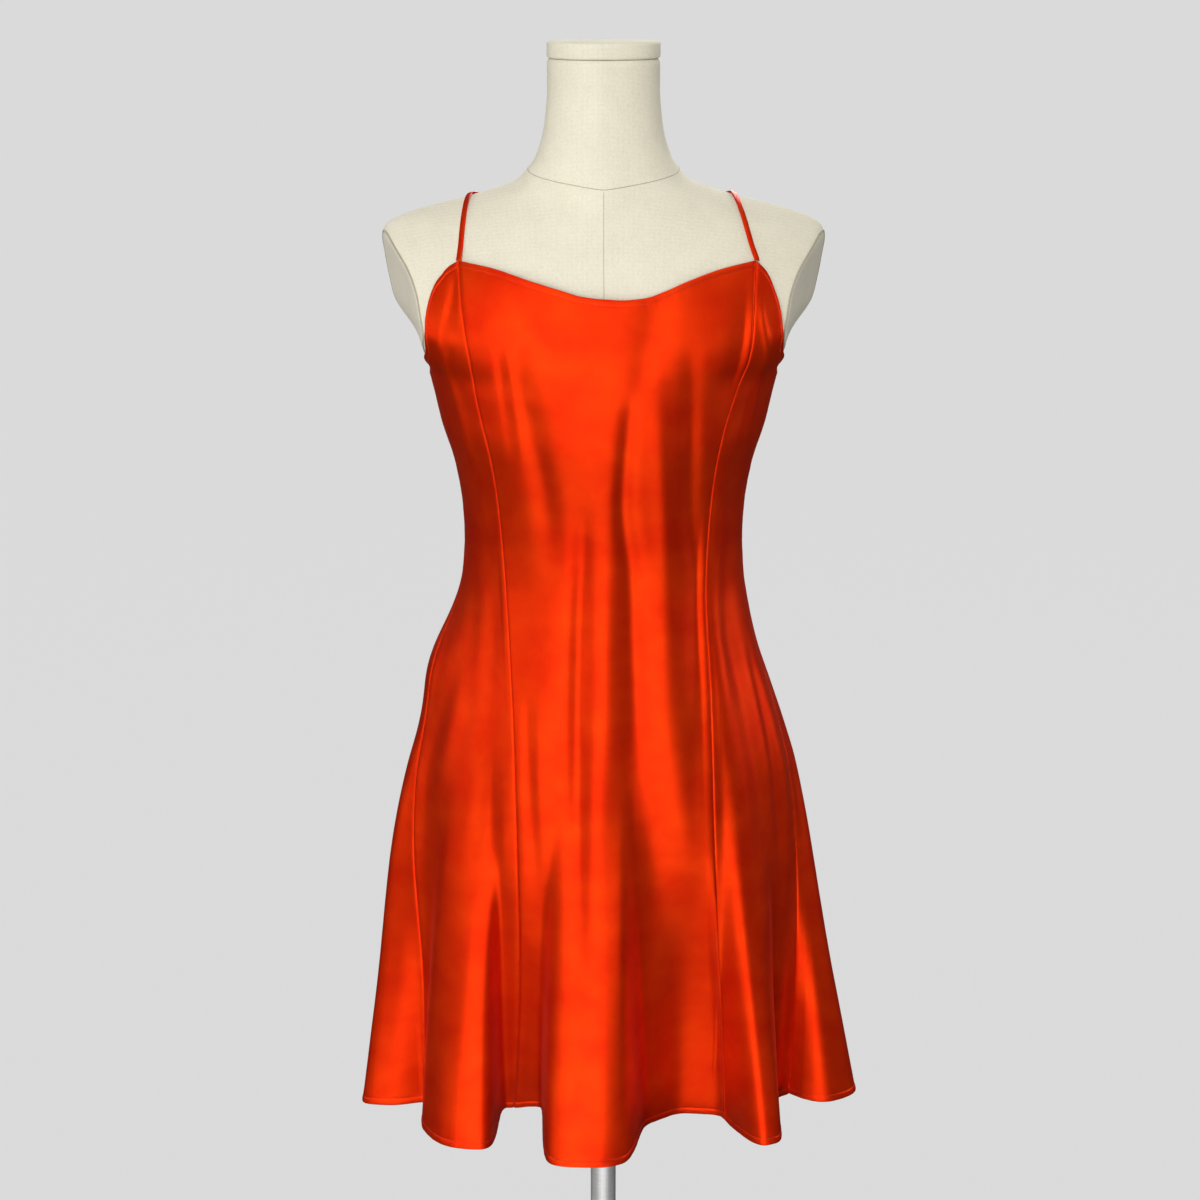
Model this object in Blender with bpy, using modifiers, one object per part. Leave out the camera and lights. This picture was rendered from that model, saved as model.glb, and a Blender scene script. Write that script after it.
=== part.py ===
# Slip dress worn by a limbless dress form on its stand.
# Metres, +Z up. The front looks along -Y and the origin lies on the floor, under the pole.
# Left and right are the wearer's: left is +X. Directions around the body are in degrees from
# the front centre, growing towards +X, with the back centre at 180.

import math

import bpy
import numpy as np
from mathutils import Vector
from mathutils.bvhtree import BVHTree

# Driving dimensions
GAP = 0.0003                # between pieces that touch
CAP_TOP = 1.337             # top of the neck cap over the floor
CAP_RADIUS = 0.0505
CAP_THICKNESS = 0.0150
CAP_ROUNDING = 0.0022
FORM_BOTTOM = 0.600         # flat underside of the torso
FORM_AROUND = 44            # points in a ring of the torso
FORM_FINE_ABOVE = 0.970     # above this, rings further apart than the step get one between them
FORM_FINE_STEP = 0.015
POLE_RADIUS = 0.0125
FLANGE_RADIUS = 0.045
FLANGE_THICKNESS = 0.006
BASE_RADIUS = 0.155
BASE_THICKNESS = 0.012
BASE_ROUNDING = 0.003
TURNED_STEPS = 32
DISC_SIDES = 48

WALL = 0.0012               # thickness of the cloth
HEM_HEIGHT = 0.3254
PANEL_ROWS = 20
FOLLOW_HEM = 0.75            # how far the columns are spaced by the hem's length
ROW_CROWDING = 0.55         # share of the rows' spacing that grows towards the hem
SLIT_TOP = 0.560            # the left princess seam is open below this
SLIT_UNDERLAP = 3.2         # degrees that the side panel reaches under the centre panel
SLIT_DROP = 0.006           # how much lower its hem hangs at the slit
SLIT_EASING = 0.050         # height in which the side panel eases inwards above the slit
SLIT_TUCK = WALL + 2 * GAP  # how far inwards it lies
SLIT_TUCK_WIDTH = 7.0       # degrees over which it comes out again

STRAP_WIDTH = 0.0050
STRAP_THICKNESS = 0.0012
STRAP_STEPS = 44
FOLD_GROWTH = 1.7           # how quickly the folds deepen towards the hem


def table(columns, rows):
    """Name the columns of a table, sorted by the first one."""
    ordered = sorted(rows)
    return {name: np.array(values) for name, values in zip(columns.split(), zip(*ordered))}


# Horizontal sections of the torso, as superellipses
TORSO = table("height half_width front back exponent", [
    (1.3217, 0.0485, 0.0485, 0.0485, 2.00),
    (1.3195, 0.0502, 0.0502, 0.0502, 2.00),
    (1.2950, 0.0502, 0.0502, 0.0502, 2.00),
    (1.2720, 0.0520, 0.0515, 0.0520, 2.00),
    (1.2580, 0.0540, 0.0532, 0.0540, 2.00),
    (1.2440, 0.0580, 0.0556, 0.0575, 2.00),
    (1.2360, 0.0610, 0.0572, 0.0598, 2.00),
    (1.2290, 0.0655, 0.0588, 0.0620, 1.90),
    (1.2220, 0.0710, 0.0605, 0.0642, 1.75),
    (1.2150, 0.0800, 0.0625, 0.0667, 1.60),
    (1.2080, 0.0990, 0.0646, 0.0692, 1.42),
    (1.2010, 0.1230, 0.0668, 0.0717, 1.32),
    (1.1940, 0.1510, 0.0692, 0.0742, 1.28),
    (1.1870, 0.1750, 0.0716, 0.0767, 1.33),
    (1.1800, 0.1910, 0.0742, 0.0791, 1.42),
    (1.1720, 0.1995, 0.0772, 0.0817, 1.55),
    (1.1580, 0.2050, 0.0826, 0.0857, 1.85),
    (1.1300, 0.2060, 0.0935, 0.0922, 2.45),
    (1.0900, 0.1920, 0.1090, 0.0985, 2.85),
    (1.0700, 0.1730, 0.1158, 0.1008, 2.65),
    (1.0500, 0.1570, 0.1208, 0.1018, 2.35),
    (1.0300, 0.1515, 0.1235, 0.1014, 2.25),
    (1.0000, 0.1448, 0.1232, 0.0990, 2.20),
    (0.9600, 0.1328, 0.1150, 0.0935, 2.15),
    (0.9200, 0.1265, 0.1040, 0.0890, 2.10),
    (0.8900, 0.1250, 0.0975, 0.0880, 2.10),
    (0.8600, 0.1262, 0.0955, 0.0915, 2.10),
    (0.8200, 0.1318, 0.0985, 0.1020, 2.10),
    (0.7800, 0.1390, 0.1030, 0.1140, 2.10),
    (0.7400, 0.1480, 0.1070, 0.1230, 2.10),
    (0.7000, 0.1560, 0.1080, 0.1270, 2.10),
    (0.6600, 0.1600, 0.1075, 0.1260, 2.10),
    (0.6250, 0.1590, 0.1060, 0.1230, 2.10),
    (0.6080, 0.1550, 0.1030, 0.1190, 2.10),
    (0.6000, 0.1490, 0.0975, 0.1130, 2.10),
])
# The flat plate where an arm would be: its half width at the height, PLATE_BACK behind the axis,
# and the half width lost for each metre forwards
PLATE = table("height reach turn", [
    (1.2100, 0.2250, 0.32),
    (1.1800, 0.2150, 0.32),
    (1.1650, 0.2130, 0.32),
    (1.1450, 0.2070, 0.32),
    (1.1240, 0.2005, 0.30),
    (1.1050, 0.1955, 0.27),
    (1.0870, 0.1835, 0.19),
    (1.0690, 0.1665, 0.06),
    (1.0500, 0.1535, 0.00),
    (1.0200, 0.2600, 0.00),
])
PLATE_BACK = 0.045
PLATE_ROUNDING = 0.006

# How much wider than the torso the dress is, as far down as it is fitted
EASE = table("height side front back", [
    (1.2000, 0.0022, 0.0022, 0.0020),
    (1.1000, 0.0030, 0.0042, 0.0024),
    (1.0300, 0.0028, 0.0040, 0.0030),
    (0.9600, 0.0028, 0.0050, 0.0050),
    (0.8900, 0.0030, 0.0080, 0.0070),
    (0.8200, 0.0040, 0.0070, 0.0060),
])
# Sections of the skirt between its folds
SKIRT = table("height half_width front back exponent", [
    (0.9000, 0.1268, 0.1030, 0.0960, 2.10),
    (0.8600, 0.1286, 0.1040, 0.0985, 2.10),
    (0.8200, 0.1356, 0.1060, 0.1090, 2.10),
    (0.7840, 0.1440, 0.1100, 0.1220, 2.10),
    (0.7450, 0.1560, 0.1150, 0.1320, 2.10),
    (0.7050, 0.1675, 0.1185, 0.1385, 2.10),
    (0.6650, 0.1770, 0.1200, 0.1420, 2.05),
    (0.6000, 0.1860, 0.1190, 0.1420, 2.00),
    (0.5400, 0.1915, 0.1130, 0.1380, 2.00),
    (0.4600, 0.1975, 0.1020, 0.1290, 2.00),
    (0.3950, 0.2020, 0.0950, 0.1230, 2.00),
    (0.3254, 0.2050, 0.0920, 0.1200, 2.00),
])
FITTED_ABOVE = 0.880        # the dress follows the torso above this
LOOSE_BELOW = 0.800         # and hangs free of it below this

# Folds of the skirt: how far out (or in) each one lies at the hem, how far it leans sideways
# there (towards +X at the front), and the height where it starts
FOLDS = table("around out lean starts name", [
    (-152.0, -0.026, 0.000, 0.700, "valley, right back"),
    (-126.0, 0.036, 0.000, 0.780, "crest, right back"),
    (-101.0, -0.020, 0.000, 0.760, "valley, right side back"),
    (-78.5, 0.038, 0.000, 0.820, "crest, right side"),
    (-73.0, 0.021, 0.000, 0.780, "flank, right side"),
    (-62.0, -0.012, 0.000, 0.740, "valley, right side seam"),
    (-49.0, 0.036, 0.000, 0.760, "flank, right front"),
    (-37.0, 0.056, 0.000, 0.740, "crest, right front"),
    (-25.0, -0.040, 0.000, 0.640, "valley, right princess seam"),
    (-19.5, -0.044, 0.000, 0.640, "valley, right of the centre"),
    (-9.5, 0.073, 0.000, 0.700, "crest, right of the centre"),
    (5.5, 0.074, 0.000, 0.700, "crest, left of the centre"),
    (11.5, -0.010, 0.000, 0.660, "flank, left of the centre"),
    (23.0, -0.029, 0.000, 0.640, "valley, left of the centre"),
    (40.0, 0.048, 0.000, 0.740, "crest, left front"),
    (48.0, 0.032, 0.000, 0.740, "flank, left front"),
    (59.0, -0.024, 0.000, 0.700, "valley, left side seam"),
    (75.0, -0.018, 0.000, 0.700, "valley, left side"),
    (85.0, 0.022, -0.020, 0.760, "flank, left side"),
    (93.0, 0.044, -0.016, 0.800, "crest, left side"),
    (113.0, -0.020, 0.000, 0.740, "valley, left side back"),
    (133.0, 0.032, 0.000, 0.760, "crest, left back"),
    (156.0, -0.028, 0.000, 0.700, "valley, left back"),
    (180.0, 0.036, 0.000, 0.740, "crest, centre back"),
])
for column in FOLDS:                 # carry the folds round past the back centre
    turn = 360.0 if column == "around" else 0.0
    if column != "name":
        row = FOLDS[column]
        FOLDS[column] = np.concatenate((row[-2:] - turn, row, row[:2] + turn))
# Small bulges where the cloth stands off the hip
BULGES = table("around height out wide tall", [
    (-83.0, 0.610, 0.007, 14.0, 0.130),
    (-86.0, 0.775, 0.013, 16.0, 0.046),
])
# Where the princess seams run: how far from the middle of the section they lie
PRINCESS_RIGHT = table("height across", [
    (1.1500, -0.1265),
    (1.1190, -0.1235),
    (1.0860, -0.1187),
    (1.0330, -0.1112),
    (0.9790, -0.0996),
    (0.9400, -0.0942),
    (0.8830, -0.0897),
    (0.8110, -0.0852),
    (0.7020, -0.0805),
    (0.5620, -0.0785),
    (0.4670, -0.0815),
    (0.3700, -0.0890),
    (0.3254, -0.0940),
])
PRINCESS_LEFT = table("height across", [
    (1.1500, 0.1330),
    (1.0930, 0.1300),
    (1.0700, 0.1270),
    (1.0430, 0.1175),
    (1.0020, 0.1050),
    (0.9670, 0.0987),
    (0.9230, 0.0945),
    (0.8580, 0.0920),
    (0.7600, 0.0970),
    (0.6350, 0.1015),
    (0.5100, 0.1075),
    (0.4350, 0.1115),
    (0.3254, 0.1150),
])
# Directions of the side seams
SIDES = table("height right left", [
    (1.1500, -88.0, 88.0),
    (0.9600, -87.0, 87.0),
    (0.7800, -80.0, 84.0),
    (0.6000, -70.0, 80.0),
    (0.4500, -63.0, 77.0),
    (0.3254, -61.0, 75.0),
])
# Top edges of the panels, by how far across the panel they are (0 at its -X side)
NECKLINE = table("across height", [
    (0.00, 1.1512),
    (0.13, 1.1460),
    (0.26, 1.1372),
    (0.38, 1.1285),
    (0.44, 1.1235),
    (0.51, 1.1208),
    (0.57, 1.1225),
    (0.63, 1.1272),
    (0.73, 1.1362),
    (0.87, 1.1458),
    (1.00, 1.1512),
])
# From the princess seam to the side seam
ARMHOLE_RIGHT = table("across height", [
    (0.000, 1.1512),
    (0.070, 1.1457),
    (0.115, 1.1388),
    (0.147, 1.1335),
    (0.173, 1.1270),
    (0.210, 1.1160),
    (0.253, 1.1030),
    (0.292, 1.0910),
    (0.345, 1.0810),
    (0.450, 1.0710),
    (0.700, 1.0610),
    (1.000, 1.0570),
])
ARMHOLE_LEFT = table("across height", [
    (0.000, 1.1512),
    (0.061, 1.1440),
    (0.095, 1.1373),
    (0.129, 1.1270),
    (0.162, 1.1170),
    (0.190, 1.1080),
    (0.220, 1.0975),
    (0.255, 1.0885),
    (0.300, 1.0810),
    (0.420, 1.0710),
    (0.700, 1.0610),
    (1.000, 1.0570),
])
# From the side seam to the centre back seam
BACK_EDGE = table("across height", [
    (0.00, 1.0570),
    (0.30, 1.0520),
    (0.65, 1.0474),
    (0.82, 1.0457),
    (0.93, 1.0451),
    (1.00, 1.0450),
])
# How the straps run: the angle over the shoulder (0 forwards, 90 up, 180 backwards, seen from a
# line through the chest) and the distance from the middle
STRAP_RIGHT = table("over across", [
    (36.3, -0.1262),
    (60.0, -0.1245),
    (85.0, -0.1210),
    (98.0, -0.1140),
    (130.0, -0.0720),
    (167.0, 0.0000),
    (205.5, 0.0620),
])
STRAP_LEFT = table("over across", [
    (38.0, 0.1335),
    (60.0, 0.1260),
    (85.0, 0.1175),
    (98.0, 0.1120),
    (130.0, 0.0720),
    (167.0, 0.0000),
    (205.5, -0.0620),
])
CHEST_LINE = 1.100          # height of that line
STRAP_FRONT_END = 1.1500    # heights where the straps start and end, just over the panels' edges
STRAP_BACK_END = 1.0470
STRAP_LIFT = 0.0004         # clearance from the torso
STRAP_RIDGE_LIFT = 0.0008   # more of it over the shoulder's ridge
STRAP_END_LIFT = 0.0020     # and at the ends, which meet the panels' edges
STRAP_END_LENGTH = 7.0      # in degrees over the shoulder
STRAP_CROSSING = STRAP_THICKNESS + GAP   # the left strap passes over the right one
STRAP_CROSSING_WIDTH = 0.020
BEHIND_SHOULDER = 110.0     # angle past which the straps run down the back

CLOTH_COLOUR = (0.80, 0.045, 0.010, 1.0)
FORM_COLOUR = (0.72, 0.69, 0.58, 1.0)
STAND_COLOUR = (0.62, 0.62, 0.62, 1.0)


def through(rows, column, at):
    """Smooth curve through a table's rows that never overshoots them."""
    x = next(iter(rows.values()))
    y = rows[column]
    step = np.diff(x)
    slope = np.diff(y) / step
    steady = slope[:-1] * slope[1:] > 0
    total = np.where(steady, slope[:-1] + slope[1:], 1.0)
    inner = np.where(steady, 2 * slope[:-1] * slope[1:] / total, 0.0)
    tangent = np.concatenate(([slope[0]], inner, [slope[-1]]))
    at = np.clip(at, x[0], x[-1])
    i = np.clip(np.searchsorted(x, at) - 1, 0, len(x) - 2)
    u = (at - x[i]) / step[i]
    start = (1 + 2 * u) * (1 - u) ** 2 * y[i] + u * (1 - u) ** 2 * step[i] * tangent[i]
    end = u * u * (3 - 2 * u) * y[i + 1] + u * u * (u - 1) * step[i] * tangent[i + 1]
    return start + end


def ramp(value, low, high):
    """0 at low and 1 at high, with soft ends."""
    u = np.clip((value - low) / (high - low), 0.0, 1.0)
    return u * u * (3 - 2 * u)


def soft_min(a, b, width):
    """The smaller of two values, rounded where they meet."""
    mix = np.clip(0.5 + 0.5 * (b - a) / width, 0.0, 1.0)
    return b + (a - b) * mix - width * mix * (1 - mix)


def superellipse(around, half_width, front, back, exponent):
    angle = np.radians(around)
    power = 2.0 / exponent
    depth = np.where(np.cos(angle) > 0, front, back)
    x = half_width * np.sign(np.sin(angle)) * np.abs(np.sin(angle)) ** power
    y = -depth * np.sign(np.cos(angle)) * np.abs(np.cos(angle)) ** power
    return x, y


def cut_by_plate(x, y, height, ease):
    """Bring in the points that lie outside the arm plate."""
    limit = through(PLATE, "reach", height) + through(PLATE, "turn", height) * (y - PLATE_BACK) + ease
    return np.sign(x) * soft_min(np.abs(x), limit, PLATE_ROUNDING)


def torso_point(around, height):
    size = [through(TORSO, column, height) for column in ("half_width", "front", "back", "exponent")]
    x, y = superellipse(around, *size)
    return np.stack([cut_by_plate(x, y, height, 0.0), y, height + 0 * x], axis=-1)


def section_size(height):
    """Half width, depths and exponent of the dress: the torso with its ease above, the skirt below."""
    fitted = ramp(height, LOOSE_BELOW, FITTED_ABOVE)
    size = []
    for column, ease in (("half_width", "side"), ("front", "front"), ("back", "back"), ("exponent", None)):
        body = through(TORSO, column, height) + (through(EASE, ease, height) if ease else 0.0)
        size.append(fitted * body + (1 - fitted) * through(SKIRT, column, height))
    return size


def dress_section(around, height):
    """The dress without its folds."""
    x, y = superellipse(around, *section_size(height))
    return cut_by_plate(x, y, height, through(EASE, "side", height)), y


def dress_inside(around, height):
    """A point of the dress's inner face."""
    x, y = dress_section(around, height)
    ahead = dress_section(around + 0.5, height)
    behind = dress_section(around - 0.5, height)
    along_x, along_y = ahead[0] - behind[0], ahead[1] - behind[1]
    length = np.hypot(along_x, along_y)
    along_x, along_y = along_x / length, along_y / length
    turned = (around + 180.0) % 360.0 - 180.0
    starts = through(FOLDS, "starts", turned)
    growth = np.maximum((starts - height) / (starts - HEM_HEIGHT), 0.0) ** FOLD_GROWTH
    out = growth * through(FOLDS, "out", turned)
    for middle, level, bulge, wide, tall in zip(*BULGES.values()):
        out = out + bulge * np.exp(-((turned - middle) / wide) ** 2 - ((height - level) / tall) ** 2)
    lean = growth * through(FOLDS, "lean", turned)
    x, y = x + out * along_y + lean * along_x, y - out * along_x + lean * along_y
    return np.stack([x, y, height + 0 * x], axis=-1)


def face_point(around, height, lift, seam_edge=None):
    """A point at a distance from the inner face. Along the slit the left side panel lies deeper."""
    if seam_edge is not None:
        open_part = 1 - ramp(height, SLIT_TOP, SLIT_TOP + SLIT_EASING)
        near = 1 - ramp(around, seam_edge, seam_edge + SLIT_TUCK_WIDTH)
        lift = lift - SLIT_TUCK * open_part * near
    point = dress_inside(around, height)
    across = dress_inside(around + 0.3, height) - dress_inside(around - 0.3, height)
    down = dress_inside(around, height - 0.002) - dress_inside(around, height + 0.002)
    normal = np.cross(down, across)
    normal /= np.linalg.norm(normal, axis=-1, keepdims=True)
    return point + np.asarray(lift)[..., None] * normal


def half_gap(around, height):
    """Half of the seam's gap, in degrees."""
    ahead = dress_inside(around + 0.5, height)
    behind = dress_inside(around - 0.5, height)
    return 0.5 * GAP / np.linalg.norm(ahead - behind, axis=-1)


def even_columns(low, high, columns):
    """Shares of a panel's width at its columns, nearly even along the hem's folds."""
    share = np.linspace(0.0, 1.0, 400)
    hem = dress_inside(low + (high - low) * share, HEM_HEIGHT + 0 * share)
    run = np.concatenate(([0.0], np.cumsum(np.linalg.norm(np.diff(hem, axis=0), axis=1))))
    even = np.linspace(0.0, 1.0, columns + 1)
    return (1 - FOLLOW_HEM) * even + FOLLOW_HEM * np.interp(even, run / run[-1], share)


def panel_grid(start, end, top_edge, columns, underlap=False):
    """Directions and heights of a panel's points, from its top edge to the hem."""
    hem_edges = start(np.array(HEM_HEIGHT)), end(np.array(HEM_HEIGHT))
    across = even_columns(*hem_edges, columns)[None, :]
    down = np.linspace(0.0, 1.0, PANEL_ROWS + 1)[:, None]
    top = through(top_edge, "height", across)
    hem = HEM_HEIGHT - SLIT_DROP * (1 - across) if underlap else HEM_HEIGHT
    height = top + (hem - top) * down * (1 - ROW_CROWDING + ROW_CROWDING * down)
    low, high = start(height), end(height)
    low = low + half_gap(low, height)
    high = high - half_gap(high, height)
    if underlap:
        low = low - SLIT_UNDERLAP * ramp(height, SLIT_TOP, HEM_HEIGHT)
    return low + (high - low) * across, height


def princess_seam(rows):
    """Direction of a princess seam at a height."""
    def direction(height):
        across = through(rows, "across", height)
        half_width, _, _, exponent = section_size(height)
        share = np.clip(np.abs(across) / half_width, 0.0, 1.0)
        return np.sign(across) * np.degrees(np.arcsin(share ** (exponent / 2)))
    return direction


def side_seam(column, turn=0.0):
    return lambda height: through(SIDES, column, height) + turn


def back_seam(height):
    return 180.0 + 0 * height


def turned_round(top_edge):
    """The same top edge, measured from the other side of the panel."""
    return {"across": 1 - top_edge["across"][::-1], "height": top_edge["height"][::-1]}


def add_mesh(name, points, faces, collection, material):
    mesh = bpy.data.meshes.new(name)
    mesh.from_pydata([tuple(point) for point in points], [], faces)
    mesh.validate()
    mesh.shade_smooth()
    mesh.set_sharp_from_angle(angle=math.radians(50))
    mesh.materials.append(material)
    piece = bpy.data.objects.new(name, mesh)
    collection.objects.link(piece)
    return piece


def wall_faces(rows, columns):
    """Faces of a closed wall over a grid: outer side, inner side and the four edges."""
    width = columns + 1
    inner = (rows + 1) * width
    faces = []
    for row in range(rows):
        for column in range(columns):
            a = row * width + column
            faces.append((a, a + width, a + width + 1, a + 1))
            faces.append((inner + a, inner + a + 1, inner + a + width + 1, inner + a + width))
    rim = [column for column in range(columns)]
    rim += [row * width + columns for row in range(rows)]
    rim += [rows * width + column for column in range(columns, 0, -1)]
    rim += [row * width for row in range(rows, 0, -1)]
    for here, after in zip(rim, rim[1:] + rim[:1]):
        faces.append((here, after, inner + after, inner + here))
    return faces


def add_panel(name, start, end, top_edge, columns, collection, material, underlap=False):
    around, height = panel_grid(start, end, top_edge, columns, underlap)
    seam_edge = start(height) if underlap else None
    outer = face_point(around, height, WALL + 0 * around, seam_edge)
    inner = face_point(around, height, 0 * around, seam_edge)
    points = np.concatenate([outer.reshape(-1, 3), inner.reshape(-1, 3)])
    return add_mesh(name, points, wall_faces(PANEL_ROWS, columns), collection, material)


def ring_faces(rings, around):
    """Faces of a closed stack of rings, with flat ends."""
    faces = []
    for ring in range(rings - 1):
        for i in range(around):
            after = (i + 1) % around
            a, b = ring * around, (ring + 1) * around
            faces.append((a + i, b + i, b + after, a + after))
    last = (rings - 1) * around
    faces.append(tuple(range(around)))
    faces.append(tuple(last + i for i in reversed(range(around))))
    return faces


def add_torso(collection, material):
    around = np.arange(FORM_AROUND) * 360.0 / FORM_AROUND
    levels = TORSO["height"]
    between = (levels[1:] + levels[:-1]) / 2
    extra = between[(between > FORM_FINE_ABOVE) & (np.diff(levels) > FORM_FINE_STEP)]
    heights = np.sort(np.concatenate((levels, extra)))[::-1]
    rings = [torso_point(around, height) for height in heights]
    faces = ring_faces(len(rings), FORM_AROUND)
    return add_mesh("form_torso", np.concatenate(rings), faces, collection, material)


def shoulder_surface():
    """Fine torso surface that the straps lie on."""
    around, height = np.meshgrid(np.linspace(0.0, 360.0, 241), np.linspace(0.98, 1.26, 281))
    points = torso_point(around, height).reshape(-1, 3)
    width = around.shape[1]
    faces = [(a, a + 1, a + width + 1, a + width)
             for row in range(around.shape[0] - 1) for a in range(row * width, (row + 1) * width - 1)]
    return BVHTree.FromPolygons([Vector(point) for point in points], faces)


def over_at(surface, across, height, from_back):
    """The angle over the shoulder of the torso's point at a height."""
    start = Vector((across, from_back, height))
    spot = surface.ray_cast(start, Vector((0.0, -from_back, 0.0)))[0]
    return math.degrees(math.atan2(height - CHEST_LINE, -spot.y)) % 360.0


def add_strap(name, path, crossing, surface, collection, material):
    """Flat strap from behind the neckline, over the shoulder, to behind the back's edge."""
    first = over_at(surface, path["across"][0], STRAP_FRONT_END, -1.0)
    last = over_at(surface, path["across"][-1], STRAP_BACK_END, 1.0)
    centres = []
    normals = []
    for over in np.linspace(first, last, STRAP_STEPS + 1):
        across = through(path, "across", over).item()
        angle = math.radians(over)
        outwards = Vector((0.0, -math.cos(angle), math.sin(angle)))
        start = Vector((across, 0.0, CHEST_LINE)) + 0.5 * outwards
        spot, normal, _, _ = surface.ray_cast(start, -outwards)
        if normal.dot(outwards) < 0:
            normal = -normal
        lift = STRAP_LIFT + STRAP_RIDGE_LIFT * math.exp(-((over - 90.0) / 20.0) ** 2)
        lift += STRAP_END_LIFT * math.exp(-(min(over - first, last - over) / STRAP_END_LENGTH) ** 2)
        if over > BEHIND_SHOULDER:
            lift += crossing * math.exp(-(across / STRAP_CROSSING_WIDTH) ** 2)
        centres.append(spot + lift * normal)
        normals.append(normal)
    rings = []
    for i, (centre, normal) in enumerate(zip(centres, normals)):
        along = centres[min(i + 1, STRAP_STEPS)] - centres[max(i - 1, 0)]
        side = along.cross(normal).normalized() * STRAP_WIDTH / 2
        top = normal * STRAP_THICKNESS
        rings.append([centre - side, centre + side, centre + side + top, centre - side + top])
    faces = ring_faces(len(rings), 4)
    return add_mesh(name, [point for ring in rings for point in ring], faces, collection, material)


def add_material(name, colour, roughness, metallic=0.0):
    material = bpy.data.materials.new(name)
    material.use_nodes = True
    shader = material.node_tree.nodes["Principled BSDF"]
    shader.inputs["Base Color"].default_value = colour
    shader.inputs["Roughness"].default_value = roughness
    shader.inputs["Metallic"].default_value = metallic
    return material


def add_disc(name, radius, bottom, thickness, rounding, collection, material):
    bpy.ops.mesh.primitive_cylinder_add(vertices=DISC_SIDES, radius=radius, depth=thickness,
                                        location=(0, 0, bottom + thickness / 2))
    disc = bpy.context.object
    disc.name = name
    disc.data.name = name
    for holder in list(disc.users_collection):
        holder.objects.unlink(disc)
    collection.objects.link(disc)
    edge = disc.modifiers.new("rounded edge", "BEVEL")
    edge.width = rounding
    edge.segments = 2
    edge.limit_method = "ANGLE"
    disc.data.shade_smooth()
    disc.data.set_sharp_from_angle(angle=math.radians(50))
    disc.data.materials.append(material)
    return disc


def add_pole(collection, material):
    """Turned pole with the flange that carries the torso."""
    top = FORM_BOTTOM - GAP
    bottom = BASE_THICKNESS + GAP
    profile = [(0.0, top), (FLANGE_RADIUS, top), (FLANGE_RADIUS, top - FLANGE_THICKNESS),
               (POLE_RADIUS, top - FLANGE_THICKNESS - 0.012), (POLE_RADIUS, bottom + 0.010),
               (POLE_RADIUS + 0.006, bottom + 0.006), (POLE_RADIUS + 0.006, bottom), (0.0, bottom)]
    mesh = bpy.data.meshes.new("stand_pole")
    mesh.from_pydata([(x, 0.0, z) for x, z in profile], [(i, i + 1) for i in range(len(profile) - 1)], [])
    mesh.materials.append(material)
    pole = bpy.data.objects.new("stand_pole", mesh)
    collection.objects.link(pole)
    turn = pole.modifiers.new("turn", "SCREW")
    turn.steps = turn.render_steps = TURNED_STEPS
    turn.use_merge_vertices = True
    turn.merge_threshold = 0.00005
    turn.use_smooth_shade = True
    return pole


def remove_everything():
    for thing in list(bpy.data.objects):
        bpy.data.objects.remove(thing, do_unlink=True)


def build():
    remove_everything()
    parts = bpy.data.collections.new("slip dress on a form")
    bpy.context.scene.collection.children.link(parts)
    cloth = add_material("satin", CLOTH_COLOUR, 0.38)
    linen = add_material("form cloth", FORM_COLOUR, 0.85)
    steel = add_material("stand", STAND_COLOUR, 0.35, 0.8)

    add_torso(parts, linen)
    add_disc("neck_cap", CAP_RADIUS, CAP_TOP - CAP_THICKNESS, CAP_THICKNESS, CAP_ROUNDING, parts, linen)
    add_pole(parts, steel)
    add_disc("stand_base", BASE_RADIUS, 0.0, BASE_THICKNESS, BASE_ROUNDING, parts, steel)

    right, left = princess_seam(PRINCESS_RIGHT), princess_seam(PRINCESS_LEFT)
    add_panel("front_centre", right, left, NECKLINE, 24, parts, cloth)
    add_panel("front_side_left", left, side_seam("left"), ARMHOLE_LEFT, 18, parts, cloth, True)
    add_panel("front_side_right", side_seam("right"), right, turned_round(ARMHOLE_RIGHT), 18, parts, cloth)
    add_panel("back_left", side_seam("left"), back_seam, BACK_EDGE, 21, parts, cloth)
    add_panel("back_right", back_seam, side_seam("right", 360.0), turned_round(BACK_EDGE), 21, parts, cloth)

    shoulders = shoulder_surface()
    add_strap("strap_right", STRAP_RIGHT, 0.0, shoulders, parts, cloth)
    add_strap("strap_left", STRAP_LEFT, STRAP_CROSSING, shoulders, parts, cloth)


build()
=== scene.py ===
import math

import bpy
import numpy as np
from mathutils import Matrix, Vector
from mathutils.bvhtree import BVHTree


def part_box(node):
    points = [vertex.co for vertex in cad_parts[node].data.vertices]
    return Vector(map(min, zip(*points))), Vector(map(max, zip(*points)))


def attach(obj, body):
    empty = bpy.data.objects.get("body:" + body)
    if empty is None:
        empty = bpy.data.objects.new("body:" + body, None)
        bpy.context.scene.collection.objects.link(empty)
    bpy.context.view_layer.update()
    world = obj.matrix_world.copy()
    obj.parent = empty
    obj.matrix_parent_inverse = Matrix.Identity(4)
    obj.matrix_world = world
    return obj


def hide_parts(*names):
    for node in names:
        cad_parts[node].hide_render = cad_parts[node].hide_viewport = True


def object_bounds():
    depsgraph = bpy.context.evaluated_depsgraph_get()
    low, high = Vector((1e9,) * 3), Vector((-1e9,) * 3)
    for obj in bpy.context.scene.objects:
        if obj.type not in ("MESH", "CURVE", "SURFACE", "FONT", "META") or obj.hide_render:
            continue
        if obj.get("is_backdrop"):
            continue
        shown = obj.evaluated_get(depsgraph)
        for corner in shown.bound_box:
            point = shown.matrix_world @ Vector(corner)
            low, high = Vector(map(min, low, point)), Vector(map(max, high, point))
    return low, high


# Metres, +Z up, the front looks along -Y. Left and right are the wearer's: left is +X.
# Directions around the body are degrees from the front centre, growing towards +X.

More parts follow.
